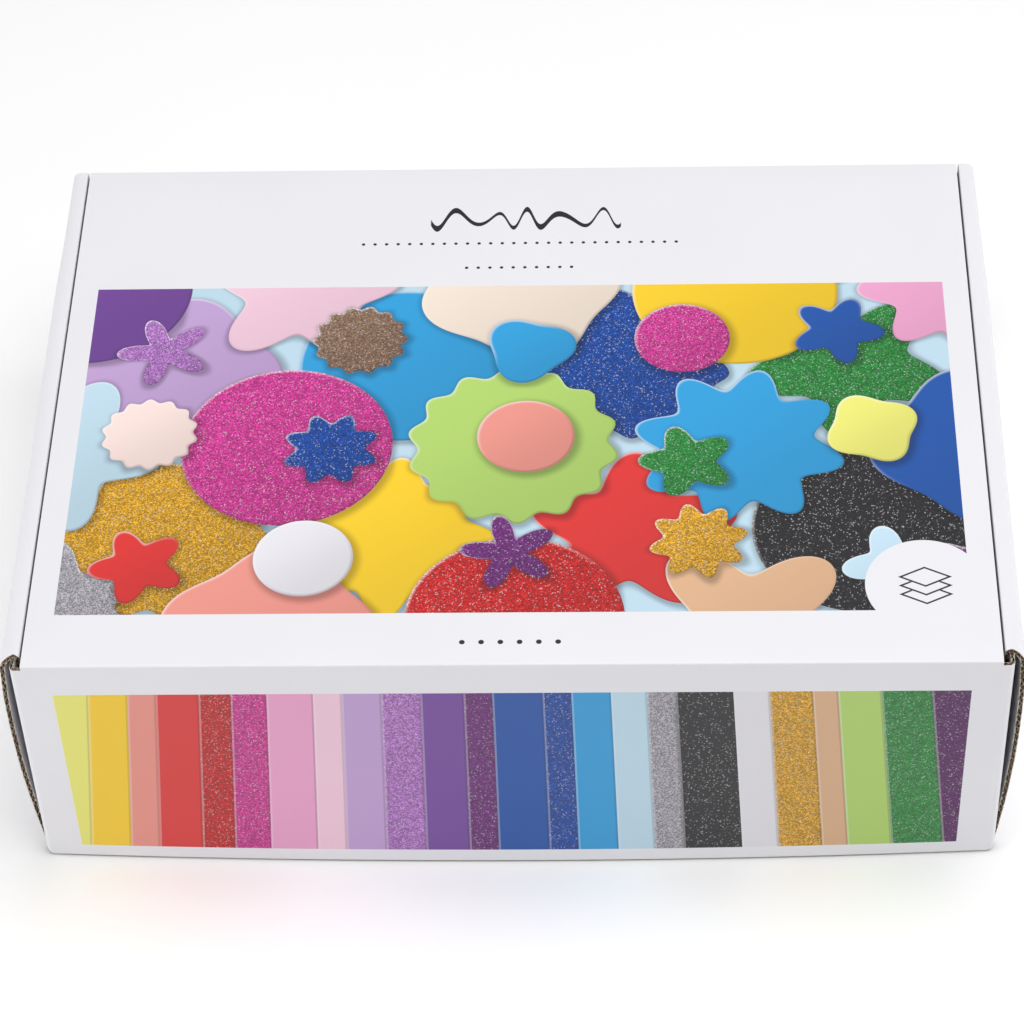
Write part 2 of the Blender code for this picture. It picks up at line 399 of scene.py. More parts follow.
def side_path():
    """Right half of the folded strip, from the inner panel's foot to the middle of the base."""
    shoulder = [
        (blend(PANEL_INNER, ROLL_INNER, smooth(rise / SHOULDER_LENGTH)), SHOULDER_HEIGHT + rise)
        for rise in spread(0, SHOULDER_DROP, 12)
    ]
    fold_radii = (ROLL_INNER_RADIUS, ROLL_INNER_RADIUS)
    roll_radii = (outer_panel_x(ROLL_START) - ROLL_MIDDLE, ROLL_DROP)
    corner_x = outer_panel_x(FOLD_RADIUS) - FOLD_RADIUS
    return join(
        line((PANEL_INNER, FOOT), (PANEL_INNER, SHOULDER_HEIGHT), 12 * MM),
        shoulder,
        arc((ROLL_MIDDLE, HEIGHT - ROLL_INNER_RADIUS), fold_radii, 2, 1, 8),
        arc((ROLL_MIDDLE, ROLL_START), roll_radii, 1, 0, 14),
        [(outer_panel_x(z), z) for z in span((ROLL_START, FOLD_RADIUS), 4 * MM)],
        arc((corner_x, FOLD_RADIUS), (FOLD_RADIUS, FOLD_RADIUS), 0, -1, 6),
        line((corner_x, 0), (0, 0), 20 * MM),
    )


def raw_front(x, z, run):
    """Where the strip's torn front end lies along Y."""
    widest = outer_panel_x(BULGE_HEIGHT)
    slant = ROLL_SLANT * (widest - x) / (widest - PANEL_INNER)
    lean = ROLL_LEAN * smooth((z - HEIGHT + ROLL_LEAN_HEIGHT) / ROLL_LEAN_HEIGHT)
    high = smooth((z - SHOULDER_HEIGHT) / (WALL_TOP - SHOULDER_HEIGHT))
    curl = ROLL_CURL * high * smooth((ROLL_INNER - x) / ROLL_CURL_LENGTH + 1)
    tear = TEAR * noise.noise(Vector((run / TEAR_LENGTH, 0, 0)))
    return FRONT + OUTER_SETBACK + slant + lean - curl + tear


def strip_rows(station, depth):
    """Places along Y of the strip's rows at one station, from its front end to its back end."""
    x, z = abs(station.place[0]), station.place[1]
    front = raw_front(x, z, station.run)
    back = BACK - BACK_SETBACK
    if z < FOOT / 2:
        outward = smooth((x - DUST_OUTER) / (4 * MM) + 1)
        front = blend(FRONT_WALL + FOLD_RADIUS, front, outward)
        back = blend(BACK - FOLD_RADIUS, back, outward)
    elif x < DUST_OUTER:
        back = blend(BACK - FOOT, back, smooth((z - SHOULDER_HEIGHT) / (WALL_TOP - SHOULDER_HEIGHT)))
    return with_ends(front, back, 8)


def shaped(x, z, y):
    """Towards its back end the side bulges less, and its rolled top is flatter and squarer."""
    reach = outer_panel_x(ROLL_START) - ROLL_MIDDLE
    across = (abs(x) - ROLL_MIDDLE) / reach
    if across <= 0:
        return x, y, z
    up = max(z - ROLL_START, 0) / ROLL_DROP
    size = math.hypot(across, up)
    squared = ((across / size) ** 4 + (up / size) ** 4) ** -0.25
    grown = 1 + (squared - 1) * SQUARENESS * smooth((y - BACK + SQUARE_LENGTH) / SQUARE_LENGTH)
    drawn = BACK_TAPER * smooth((y - BACK + BACK_TAPER_LENGTH) / BACK_TAPER_LENGTH)
    drawn *= smooth(z / ROLL_START) * min(across, 1)
    new_x = ROLL_MIDDLE + reach * across * grown - drawn
    return math.copysign(new_x, x), y, z + (grown - 1) * up * ROLL_DROP


def dust_top(v):
    into = max(v - (DUST_FLAP_LENGTH - DUST_CORNER), 0)
    return DUST_TOP - DUST_CORNER + math.sqrt(max(DUST_CORNER**2 - into**2, 0))


def seat(depth):
    """Height at which a panel meets the lid's rounded end above it, at a depth in the panel."""
    radius = BOARD / 2
    off = min(abs(depth - radius), radius)
    return HINGE_HEIGHT - math.sqrt(radius**2 - off**2) - SEAT_GAP


def dust_flap_path():
    """From the fold at the right end of a front or back wall to the dust flap's free end."""
    start = (DUST_OUTER, FOLD_RADIUS)
    corner = (DUST_OUTER, DUST_FLAP_LENGTH - DUST_CORNER)
    return join(
        arc((DUST_OUTER - FOLD_RADIUS, FOLD_RADIUS), (FOLD_RADIUS, FOLD_RADIUS), -1, 0, 6),
        line(start, corner, 12 * MM),
        line(corner, (DUST_OUTER, DUST_FLAP_LENGTH), 1 * MM),
    )


def add_wall(board, outer_face, inward, under_lid):
    """A front or back wall, its fold into the base, and a dust flap folded back on each end."""
    def place(x, v, z):
        return x, outer_face + inward * v, z

    def wall_rows(station, depth):
        return spread(FOOT, seat(depth) if under_lid else WALL_TOP, 4)

    def dust_flap_rows(station, depth):
        return with_ends(FOOT, dust_top(station.place[1]), 3)

    half = DUST_OUTER - FOLD_RADIUS
    wall = line((-half, 0), (half, 0), 20 * MM)
    board.panel(wall, 1, wall_rows, place)
    right = dust_flap_path()
    left = [(-x, v) for x, v in reversed(right)]
    for flap in (right, left):
        board.panel(flap, 1, dust_flap_rows, place, (PRESSED, PRESSED))

    fold = arc((FOLD_RADIUS, FOLD_RADIUS), (FOLD_RADIUS, FOLD_RADIUS), 2, 3, 6)
    across = [x for x, _ in wall]
    board.skin.liners(stations(fold, 1), lambda s, depth: across, lambda v, z, x: place(x, v, z))


def make_tray(materials):
    board = Board()
    board.panel(mirrored(side_path()), -1, strip_rows, shaped, (FRAYED, PRESSED))
    add_wall(board, FRONT_WALL, 1, False)
    add_wall(board, BACK, -1, True)
    return board.build("tray", materials)


# Lid

def pressed(y, z, x):
    """The lid is pressed a little thinner along its two cut sides."""
    thin = fullness(x, (-LID_HALF, LID_HALF), (PRESSED, PRESSED))
    return x, y, HINGE_HEIGHT + (z - HINGE_HEIGHT) * thin


def lid_ring():
    """The lid's section: flat above and below, and rounded about both creases."""
    radii = (BOARD / 2, BOARD / 2)
    (_, low_y), (_, high_y) = LID_PICTURE
    return join(
        arc((FLAP_HINGE_Y, HINGE_HEIGHT), radii, 3, 1, 16),
        [(y, HEIGHT) for y in span((FLAP_HINGE_Y, low_y, high_y, LID_HINGE_Y), 12 * MM)],
        arc((LID_HINGE_Y, HINGE_HEIGHT), radii, 1, -1, 16),
        line((LID_HINGE_Y, HEIGHT - BOARD), (FLAP_HINGE_Y, HEIGHT - BOARD), 12 * MM),
    )[:-1]


def make_lid(materials):
    """The lid's skin all round, and the fluting inside it."""
    board = Board()
    low, high = LID_PICTURE
    across = sorted(with_ends(-LID_HALF, LID_HALF, 14) + [low[0], high[0]])
    board.skin.layer(
        stations(lid_ring(), -1, closed=True),
        lambda s, depth: across, pressed,
        lambda s: (0, LINER), (OUTSIDE, INSIDE), closed=True,
    )
    end = LID_HALF - MEDIUM_INSET
    wave = even_path([(-end, HEIGHT), (end, HEIGHT)], FLUTE_STEP)
    board.medium.fluting(
        stations(wave, -1),
        lambda s, depth: (FLAP_HINGE_Y, LID_HINGE_Y),
        lambda x, z, y: pressed(y, z, x),
    )

    def on_top(x, y, z):
        return z > HINGE_HEIGHT

    def in_picture(x, y, z):
        return on_top(x, y, z) and low[0] < x < high[0] and low[1] < y < high[1]

    board.skin.flat = [(x, y) for x, y, _ in board.skin.points]
    board.skin.print_on(PICTURE, in_picture)
    board.skin.print_on(MARKED, on_top)
    return board.build("lid", materials)


# Front flap and its ears

def flap_bottom(x):
    into = max(abs(x) - (FLAP_HALF - FLAP_CORNER), 0)
    return FLAP_BOTTOM + FLAP_CORNER - math.sqrt(max(FLAP_CORNER**2 - into**2, 0))


def flap_bow(x, z):
    """How far the flap stands forward: most at mid bottom."""
    across = 1 - min(abs(x) / FLAP_HALF, 1) ** 2
    down = (HINGE_HEIGHT - z) / (HINGE_HEIGHT - FLAP_BOTTOM)
    return FLAP_BOW * across * max(down, 0) ** 2


def flap_place(x, v, z):
    return x, FRONT + v - flap_bow(x, z), z


def flap_rows(top, cut_top):
    """Rows of the flap from its lower edge to a top that may depend on the depth in the board."""
    low, high = FLAP_PICTURE[0][1], FLAP_PICTURE[1][1]

    def rows(station, depth):
        bottom = flap_bottom(station.place[0])
        end = top(depth)
        first = [bottom + row for row in END_ROWS]
        last = [end - row for row in reversed(END_ROWS)] if cut_top else [end]
        middle = span((first[-1], low, high), 10 * MM) + span((high, last[0]), 8 * MM)[1:]
        return first[:-1] + middle + last[1:]

    return rows


def flap_end(side):
    """Paths of the flap's strip beside the lid's end and of its fold towards the ear."""
    fold_x = FLAP_HALF - FOLD_RADIUS
    corner = [x for x, _ in arc((FLAP_HALF - FLAP_CORNER, 0), (FLAP_CORNER, 1), 1, 0, 8)]
    beside = {side * x for x in corner if LID_HALF < x < fold_x} | {side * LID_HALF, side * fold_x}
    fold = arc((fold_x, FOLD_RADIUS), (FOLD_RADIUS, FOLD_RADIUS), -1, 0, 8)
    if side < 0:
        fold = [(-x, v) for x, v in reversed(fold)]
    return [(x, 0) for x in sorted(beside)], fold


def make_flap(materials):
    board = Board()
    low, high = FLAP_PICTURE
    both = (PRESSED, PRESSED)

    def panel(path, rows, ends):
        board.panel(path, 1, rows, flap_place, ends, path[0][0])

    def in_picture(x, y, z):
        on_face = y < FRONT - flap_bow(x, z) + LINER / 2
        return on_face and low[0] < x < high[0] and low[1] < z < high[1]

    middle = span((-LID_HALF, low[0], high[0], LID_HALF), 8 * MM)
    panel([(x, 0) for x in middle], flap_rows(seat, False), (PRESSED, 0))
    for side in (-1, 1):
        beside, fold = flap_end(side)
        panel(beside, flap_rows(lambda depth: WALL_TOP, True), both)
        panel(fold, lambda s, depth: with_ends(flap_bottom(s.place[0]), WALL_TOP, 8), both)
    board.skin.flat = [(x, z) for x, _, z in board.skin.points]
    board.skin.print_on(PICTURE, in_picture)
    return board.build("front_flap", materials)


def make_ear(name, side, materials):
    """A tongue folded back from the flap's end. Its foot is an arc about the crease."""
    def place(y, v, z):
        return side * (FLAP_HALF - v), y, z

    def rows(station, depth):
        y = station.place[0]
        foot = HINGE_HEIGHT - math.sqrt(EAR_REACH**2 - (y - FLAP_HINGE_Y) ** 2)
        into = max(y - (EAR_END - EAR_CORNER), 0)
        top = EAR_TOP - EAR_CORNER + math.sqrt(max(EAR_CORNER**2 - into**2, 0))
        return with_ends(foot, top, 4)

    path = join(
        line((EAR_START, 0), (EAR_END - EAR_CORNER, 0), 4 * MM),
        line((EAR_END - EAR_CORNER, 0), (EAR_END, 0), 1 * MM),
    )
    board = Board()
    board.panel(path, 1, rows, place, (PRESSED, PRESSED))
    return board.build(name, materials)


# Foam sheets

FOAM_EDGE = 0.35 * MM
FOAM_WAVE = 0.1 * MM
WAVES_PER_METRE = 14
FOAM_GRID = 14 * MM


def make_foam(node, material, seed):
    """A sheet with soft cut edges that waves a little, in the place of its node."""
    low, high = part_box(node)
    half = (high[2] - low[2]) / 2
    middle = (high[2] + low[2]) / 2

    def lines(a, b):
        close = 0.3 * FOAM_EDGE
        return [a, a + close] + span((a + FOAM_EDGE, b - FOAM_EDGE), FOAM_GRID) + [b - close, b]

    def lift(x, y):
        return FOAM_WAVE * noise.noise(Vector((x * WAVES_PER_METRE, y * WAVES_PER_METRE, seed * 3.7)))

    def half_height(x, y):
        edge = min(x - low[0], high[0] - x, y - low[1], high[1] - y, FOAM_EDGE)
        return half - FOAM_EDGE + math.sqrt(max(FOAM_EDGE**2 - (FOAM_EDGE - edge) ** 2, 0))

    xs, ys = lines(low[0], high[0]), lines(low[1], high[1])
    top = [[(x, y, middle + half_height(x, y) + lift(x, y)) for x in xs] for y in ys]
    bottom = [[(x, y, middle - half_height(x, y) + lift(x, y)) for x in xs] for y in ys]
    shape = Shape()
    shape.shell(top, bottom, [[(x, y) for x in xs] for y in ys], (0, 0))
    shape.skins = [0] * len(shape.skins)
    return shape.build(node + "_soft", [material])


# Shader nodes

class Graph:
    """Short ways to add shader nodes to one material."""

    def __init__(self, name):
        self.material = bpy.data.materials.new(name)
        self.material.use_nodes = True
        self.tree = self.material.node_tree
        self.shader = self.tree.nodes["Principled BSDF"]

    def feed(self, socket, value):
        if isinstance(value, bpy.types.NodeSocket):
            self.tree.links.new(value, socket)
        else:
            socket.default_value = value

    def node(self, kind, inputs, **settings):
        node = self.tree.nodes.new("ShaderNode" + kind)
        for key, value in settings.items():
            setattr(node, key, value)
        for key, value in inputs.items():
            self.feed(node.inputs[key], value)
        return node

    def math(self, operation, *values):
        return self.node("Math", dict(enumerate(values)), operation=operation).outputs[0]

    def vector(self, operation, *values):
        return self.node("VectorMath", dict(enumerate(values)), operation=operation).outputs[0]

    def length(self, value):
        return self.node("VectorMath", {0: value}, operation="LENGTH").outputs["Value"]

    def dot(self, a, b):
        return self.node("VectorMath", {0: a, 1: b}, operation="DOT_PRODUCT").outputs["Value"]

    def parts(self, value):
        return self.node("SeparateXYZ", {0: value}).outputs

    def combine(self, x, y, z=0.0):
        return self.node("CombineXYZ", {0: x, 1: y, 2: z}).outputs[0]

    def mix(self, share, a, b, blend="MIX"):
        inputs = {0: share, 6: a, 7: b}
        return self.node("Mix", inputs, data_type="RGBA", blend_type=blend).outputs[2]

    def shade(self, colour, level):
        """The colour times a level."""
        return self.mix(1.0, colour, self.combine(level, level, level), "MULTIPLY")

    def mix_value(self, share, a, b):
        return self.node("Mix", {0: share, 2: a, 3: b}, data_type="FLOAT").outputs[0]

    def fade(self, value, low, high, start=0.0, end=1.0):
        """Goes smoothly from start to end as the value goes from low to high."""
        inputs = {0: value, 1: low, 2: high, 3: start, 4: end}
        return self.node("MapRange", inputs, interpolation_type="SMOOTHSTEP").outputs[0]

    def grain(self, place, scale, detail=2.0):
        """Smooth noise from 0 to 1, about 0.5."""
        inputs = {"Vector": place, "Scale": scale, "Detail": detail}
        return self.node("TexNoise", inputs).outputs[0]

    def steps(self, value, colours):
        """Colour and alpha of the band that the value falls in. Each entry is (band's end, colour)."""
        node = self.node("ValToRGB", {0: value})
        ramp = node.color_ramp
        ramp.interpolation = "CONSTANT"
        starts = [0] + [end for end, _ in colours[:-1]]
        for index, (start, (_, colour)) in enumerate(zip(starts, colours)):
            stop = ramp.elements[index] if index < 2 else ramp.elements.new(start)
            stop.position = start
            stop.color = colour
        return node.outputs

    def bump(self, height):
        """Roughens the surface by a height in metres."""
        bump = self.node("Bump", {"Height": height, "Distance": 1.0, "Strength": 1.0})
        self.tree.links.new(bump.outputs[0], self.shader.inputs["Normal"])

    def finish(self, colour, roughness):
        self.feed(self.shader.inputs["Base Color"], colour)
        self.feed(self.shader.inputs["Roughness"], roughness)
        return self.material


def linear(colour):
    """A colour as seen on a screen, from 0 to 255 and at least 10, as the light that it stands for."""
    return [((value / 255 + 0.055) / 1.055) ** 2.4 for value in colour]


# The printed foam's colours as seen on a screen, and whether each one glitters
INKS = {
    "coral": (236, 150, 138, 0),
    "red": (222, 52, 50, 0),
    "deep_red": (196, 28, 30, 1),
    "purple": (120, 74, 160, 0),
    "violet": (112, 40, 120, 1),
    "plum": (90, 22, 96, 1),
    "lilac": (196, 164, 214, 0),
    "mauve": (178, 120, 196, 1),
    "blue": (24, 84, 168, 0),
    "deep_blue": (16, 72, 160, 1),
    "sky": (44, 160, 220, 0),
    "ice": (196, 224, 240, 0),
    "pink": (238, 166, 206, 0),
    "rose": (246, 206, 224, 0),
    "hot_pink": (206, 56, 148, 1),
    "blush": (250, 226, 220, 0),
    "cream": (246, 230, 214, 0),
    "tan": (222, 178, 140, 0),
    "yellow": (250, 208, 38, 0),
    "lemon": (238, 236, 120, 0),
    "gold": (214, 160, 34, 1),
    "bronze": (140, 110, 90, 1),
    "lime": (180, 214, 110, 0),
    "green": (40, 136, 58, 1),
    "silver": (168, 164, 172, 1),
    "white": (232, 230, 236, 0),
    "black": (36, 34, 38, 1),
}
INK_STRENGTH = 0.92


def ink(name):
    """The ink as a node's colour, with its glitter as the alpha."""
    *colour, glitter = INKS[name]
    return (*(value * INK_STRENGTH for value in linear(colour)), glitter)


def millimetres(graph):
    """The flat board coordinate as a vector in millimetres."""
    flat = graph.node("UVMap", {}, uv_map="Board").outputs[0]
    return graph.vector("MULTIPLY", flat, (1000, 1000, 0))


BLACK = (0.012, 0.012, 0.014, 1)
WHITE = (0.80, 0.797, 0.832, 1)
SATIN = 0.42
LINES_HEIGHT = 0.004 * MM
FIBRE_HEIGHT = 0.003 * MM


def paper(graph, colour, roughness):
    """Finishes a coated liner: fine fibres, faint clouds, and the flutes just showing through."""
    place = millimetres(graph)
    fibre = graph.grain(place, 1.6, 4.0)
    cloud = graph.grain(place, 0.02)
    tint = graph.fade(cloud, 0.3, 0.7, 0.985, 1.0)
    tone = graph.shade(colour, tint)
    across = graph.parts(place)[0]
    turn = graph.math("MULTIPLY", across, 2 * math.pi * MM / FLUTE_PITCH)
    lines = graph.math("MULTIPLY", graph.math("SINE", turn), LINES_HEIGHT)
    graph.bump(graph.math("MULTIPLY_ADD", fibre, FIBRE_HEIGHT, lines))
    rough = graph.math("MULTIPLY_ADD", fibre, 0.08, roughness - 0.04)
    return graph.finish(tone, rough)


def white_board():
    graph = Graph("white_board")
    return paper(graph, WHITE, SATIN)


def cut_edge():
    """Torn brown fibres with paler ones among them."""
    graph = Graph("cut_edge")
    place = graph.node("TexCoord", {}).outputs["Object"]
    share = graph.fade(graph.grain(place, 1100.0, 3.0), 0.36, 0.62)
    colour = graph.mix(share, (0.17, 0.115, 0.075, 1), (0.76, 0.67, 0.55, 1))
    graph.bump(graph.math("MULTIPLY", graph.grain(place, 3000.0), 0.05 * MM))
    return graph.finish(colour, 0.9)


def inner_kraft():
    """The brown paper of the fluting and of the liners' hidden sides."""
    graph = Graph("inner_kraft")
    place = graph.node("TexCoord", {}).outputs["Object"]
    share = graph.fade(graph.grain(place, 900.0, 3.0), 0.3, 0.7)
    colour = graph.mix(share, (0.20, 0.14, 0.09, 1), (0.40, 0.30, 0.20, 1))
    graph.bump(graph.math("MULTIPLY", graph.grain(place, 2500.0), 0.02 * MM))
    return graph.finish(colour, 0.88)


# The printed pictures

GLITTER_GRAIN = 0.36

# Where the printed light comes from, and the light and dark colours of printed edges
LIGHT_SIDE = (-0.6, 0.8, 0.0)
LIT_EDGE = (0.9, 0.9, 0.9, 1)
LIT_STRIPE_EDGE = (0.85, 0.85, 0.85, 1)
DARK_EDGE = (0.02, 0.02, 0.03, 1)


def glittered(graph, place, colour, glitter):
    """Breaks the colour into small bright and dark flakes where it glitters."""
    flakes = graph.node(
        "TexVoronoi", {"Vector": place, "Scale": 1 / GLITTER_GRAIN}, voronoi_dimensions="2D"
    )
    chance = graph.parts(flakes.outputs["Color"])
    shine = graph.math("POWER", chance[0], 2.0)
    level = graph.math("MULTIPLY_ADD", shine, 1.1, 0.55)
    spark = graph.fade(chance[1], 0.9, 1.0, 0.0, 0.45)
    flaked = graph.mix(spark, graph.shade(colour, level), (0.8, 0.8, 0.82, 1))
    return graph.mix(glitter, colour, flaked)


# Layers of cut-out shapes in the lid's picture, from the bottom up, in millimetres from its lower
# left corner: the cells' size, the first cell's corner, the shapes' radius, how far they stray
# from the middles of their cells, the number of columns of cells, and the cells' inks and shapes
# row by row. A shape is (lobes, how deep they are as a share of its radius)
DISC, FLOWER, DAISY, HEART_LEAF = (0, 0), (5, 0.2), (8, 0.14), (3, 0.12)
SQUARE, SCALLOPED, STAR, CLOVER = (4, 0.1), (14, 0.05), (5, 0.3), (4, 0.24)
CutOuts = namedtuple("CutOuts", "cell corner radius stray columns inks shapes")
LAYERS = (
    CutOuts(
        (74, 74), (-4, -4), 34.8, 2, 4,
        "gold yellow red black lilac sky deep_blue green".split(),
        (SCALLOPED, DAISY, FLOWER, DISC, SQUARE, DISC, SCALLOPED, FLOWER),
    ),
    CutOuts(
        (74, 74), (-41, -41), 34.8, 2, 5,
        (
            "silver coral deep_red tan violet "
            "ice hot_pink lime sky blue "
            "purple rose cream yellow pink"
        ).split(),
        (
            DAISY, SQUARE, DISC, CLOVER, SCALLOPED,
            FLOWER, DISC, SCALLOPED, DAISY, SQUARE,
            DISC, FLOWER, SQUARE, DISC, DAISY,
        ),
    ),
    CutOuts(
        (58, 49), (-3, -2), 16, 8, 5,
        (
            "red white violet gold ice "
            "blush deep_blue coral green lemon "
            "mauve bronze sky hot_pink blue"
        ).split(),
        (
            FLOWER, DISC, STAR, DAISY, CLOVER,
            SCALLOPED, DAISY, DISC, FLOWER, SQUARE,
            STAR, SCALLOPED, HEART_LEAF, DISC, FLOWER,
        ),
    ),
)
MOST_LOBES = 16
DEEPEST = 0.32

# The cut-outs' shadows and rims, in millimetres
OUTLINE_SOFTNESS = 0.14
SHADOW_WIDTH = 3.2
SHADOW_START = -0.6
SHADOW_SHIFT = 1.4
SHADOW_DEPTH = 0.45
BORDER_WIDTH = 3.0
RIM_START = -1.3
RIM_END = -0.2


def bands(values):
    """Equal bands for Graph.steps, one for each value."""
    return [((index + 1) / len(values), value) for index, value in enumerate(values)]


def cell_kind(graph, cell, layer):
    """Ink, glitter, number of lobes and their depth for each cell of a layer."""
    column, row, _ = graph.parts(cell)
    number = graph.math("MULTIPLY_ADD", row, float(layer.columns), graph.math("ADD", column, 0.5))
    number = graph.math("DIVIDE", number, float(len(layer.inks)))
    colour, glitter = graph.steps(number, bands([ink(name) for name in layer.inks]))
    kinds = [(lobes / MOST_LOBES, depth / DEEPEST, 0, 1) for lobes, depth in layer.shapes]
    lobes, depth, _ = graph.parts(graph.steps(number, bands(kinds))[0])
    lobes = graph.math("ROUND", graph.math("MULTIPLY", lobes, float(MOST_LOBES)))
    return colour, glitter, lobes, graph.math("MULTIPLY", depth, DEEPEST)


def beyond_outline(graph, away, radius, lobes, depth, turn):
    """How far a place lies outside a lobed outline, given its place away from the middle."""
    x, y, _ = graph.parts(away)
    angle = graph.math("ARCTAN2", y, x)
    wave = graph.math("COSINE", graph.math("MULTIPLY_ADD", angle, lobes, turn))
    drop = graph.math("MULTIPLY", depth, graph.math("SUBTRACT", 1.0, wave))
    outline = graph.math("MULTIPLY", graph.math("SUBTRACT", 1.0, drop), float(radius))
    return graph.math("SUBTRACT", graph.length(away), outline)


def shadowed(graph, below, outside, facing, inside, cell):
    """What is below a cut-out, darker beside it. The shadow fades towards the cell's border."""
    beside = graph.math("MULTIPLY_ADD", facing, SHADOW_SHIFT, outside)
    depth = graph.fade(beside, SHADOW_WIDTH, SHADOW_START, 0.0, SHADOW_DEPTH)
    across, along, _ = graph.parts(graph.vector("ABSOLUTE", inside))
    room = graph.math(
        "MINIMUM",
        graph.math("SUBTRACT", cell[0] / 2, across),
        graph.math("SUBTRACT", cell[1] / 2, along),
    )
    depth = graph.math("MULTIPLY", depth, graph.fade(room, 0.0, BORDER_WIDTH))
    return graph.shade(below, graph.math("SUBTRACT", 1.0, depth))


def rimmed(graph, colour, outside, facing, away, radius):
    """A cut-out's own colour, brighter towards the light, with a lit and a dark rim."""
    bright = graph.fade(graph.dot(away, LIGHT_SIDE), -radius, radius, 0.86, 1.08)
    rim = graph.fade(outside, RIM_START, RIM_END)
    lit = graph.math("MULTIPLY", rim, graph.fade(facing, -0.1, 0.9, 0.0, 0.45))
    dark = graph.math("MULTIPLY", rim, graph.fade(facing, 0.2, -0.9, 0.0, 0.35))
    return graph.mix(dark, graph.mix(lit, graph.shade(colour, bright), LIT_EDGE), DARK_EDGE)


def cut_outs(graph, place, below, below_glitter, layer):
    """One layer of cut-out shapes over what is below them. Returns the colour and the glitter."""
    size = (*layer.cell, 1)
    moved = graph.vector("SUBTRACT", place, (*layer.corner, 0))
    cell = graph.vector("FLOOR", graph.vector("DIVIDE", moved, size))
    middle = graph.vector("MULTIPLY", graph.vector("ADD", cell, (0.5, 0.5, 0)), size)
    inside = graph.vector("MULTIPLY", graph.vector("SUBTRACT", moved, middle), (1, 1, 0))

    chance = graph.node("TexWhiteNoise", {"Vector": graph.vector("ADD", cell, (3, 7, layer.radius))})
    either_way = graph.vector("SUBTRACT", chance.outputs["Color"], (0.5, 0.5, 0.5))
    stray = graph.vector("MULTIPLY", either_way, (2 * layer.stray, 2 * layer.stray, 0))
    away = graph.vector("SUBTRACT", inside, stray)
    turn = graph.math("MULTIPLY", chance.outputs["Value"], 2 * math.pi)

    colour, glitter, lobes, depth = cell_kind(graph, cell, layer)
    outside = beyond_outline(graph, away, layer.radius, lobes, depth, turn)
    distance = graph.math("ADD", graph.length(away), 0.01)
    facing = graph.math("DIVIDE", graph.dot(away, LIGHT_SIDE), distance)
    cover = graph.fade(outside, OUTLINE_SOFTNESS, -OUTLINE_SOFTNESS)
    ground = shadowed(graph, below, outside, facing, inside, layer.cell)
    sheet = rimmed(graph, colour, outside, facing, away, layer.radius)
    return graph.mix(cover, ground, sheet), graph.mix_value(cover, below_glitter, glitter)


# The badge, a disc with three sheets drawn as flat diamonds, in millimetres
BADGE_PLACE = (130.3, -80.4, 0)
BADGE_RADIUS = 19
SHEET_HALF = (8.5, 4.2)
SHEET_PITCH = 3.6

# Half the width over which small printed shapes end
SOFTNESS = 0.12


def badge(graph, place, picture):
    """A white disc over the picture's corner, with three stacked sheets drawn on it."""
    away = graph.vector("SUBTRACT", place, BADGE_PLACE)
    disc = graph.fade(graph.length(away), BADGE_RADIUS + SOFTNESS, BADGE_RADIUS - SOFTNESS)
    shown = graph.mix(disc, picture, WHITE)
    x, y, _ = graph.parts(away)
    across = graph.math("DIVIDE", graph.math("ABSOLUTE", x), SHEET_HALF[0])
    for sheet in (-1, 0, 1):
        height = graph.math("DIVIDE", graph.math("SUBTRACT", y, sheet * SHEET_PITCH), SHEET_HALF[1])
        size = graph.math("ADD", across, graph.math("ABSOLUTE", height))
        inside = graph.fade(size, 1.03, 0.97)
        outline = graph.math("MULTIPLY", inside, graph.fade(size, 0.80, 0.86))
        shown = graph.mix(outline, graph.mix(inside, shown, WHITE), BLACK)
    return shown


def lid_picture():
    graph = Graph("lid_picture")
    place = millimetres(graph)
    corner = (LID_PICTURE[0][0] / MM, LID_PICTURE[0][1] / MM, 0)
    local = graph.vector("SUBTRACT", place, corner)
    colour, glitter = ink("ice"), 0.0
    for layer in LAYERS:
        colour, glitter = cut_outs(graph, local, colour, glitter, layer)
    colour = glittered(graph, place, colour, glitter)
    return paper(graph, badge(graph, place, colour), SATIN - 0.04)


# The flap's stripes from left to right, as (share of the width, ink)
STRIPES = (
    (11, "lemon"), (13, "yellow"), (9, "coral"), (14, "red"), (10, "deep_red"), (12, "hot_pink"),
    (15, "pink"), (9, "rose"), (13, "lilac"), (12, "mauve"), (14, "purple"), (10, "violet"),
    (16, "blue"), (9, "deep_blue"), (13, "sky"), (11, "ice"), (10, "silver"), (18, "black"),
    (12, "white"), (13, "gold"), (9, "tan"), (14, "lime"), (16, "green"), (13, "plum"),
)

# How much wider the stripes lie at the picture's floor, and how wide their light and dark edges are
FLOOR_WIDTH = 1.06
FAN = 0.11
EDGE_WIDTH = 0.6


def fan_share(graph, place, half):
    """How far across the fan of stripes a place lies, from 0 at its left to 1 at its right."""
    x, z, _ = graph.parts(place)
    low, high = FLAP_PICTURE
    middle = (high[0] + low[0]) / 2 / MM
    fan = graph.math("MULTIPLY", graph.math("SUBTRACT", z, low[1] / MM), FAN / half)
    wide = graph.math("SUBTRACT", FLOOR_WIDTH, fan)
    off = graph.math("DIVIDE", graph.math("SUBTRACT", x, middle), wide)
    return graph.math("MULTIPLY_ADD", off, 0.5 / half, 0.5)


def stripe_bands():
    """The stripes for Graph.steps."""
    total = sum(width for width, _ in STRIPES)
    result = []
    run = 0
    for width, name in STRIPES:
        run += width
        result.append((run / total, ink(name)))
    return result


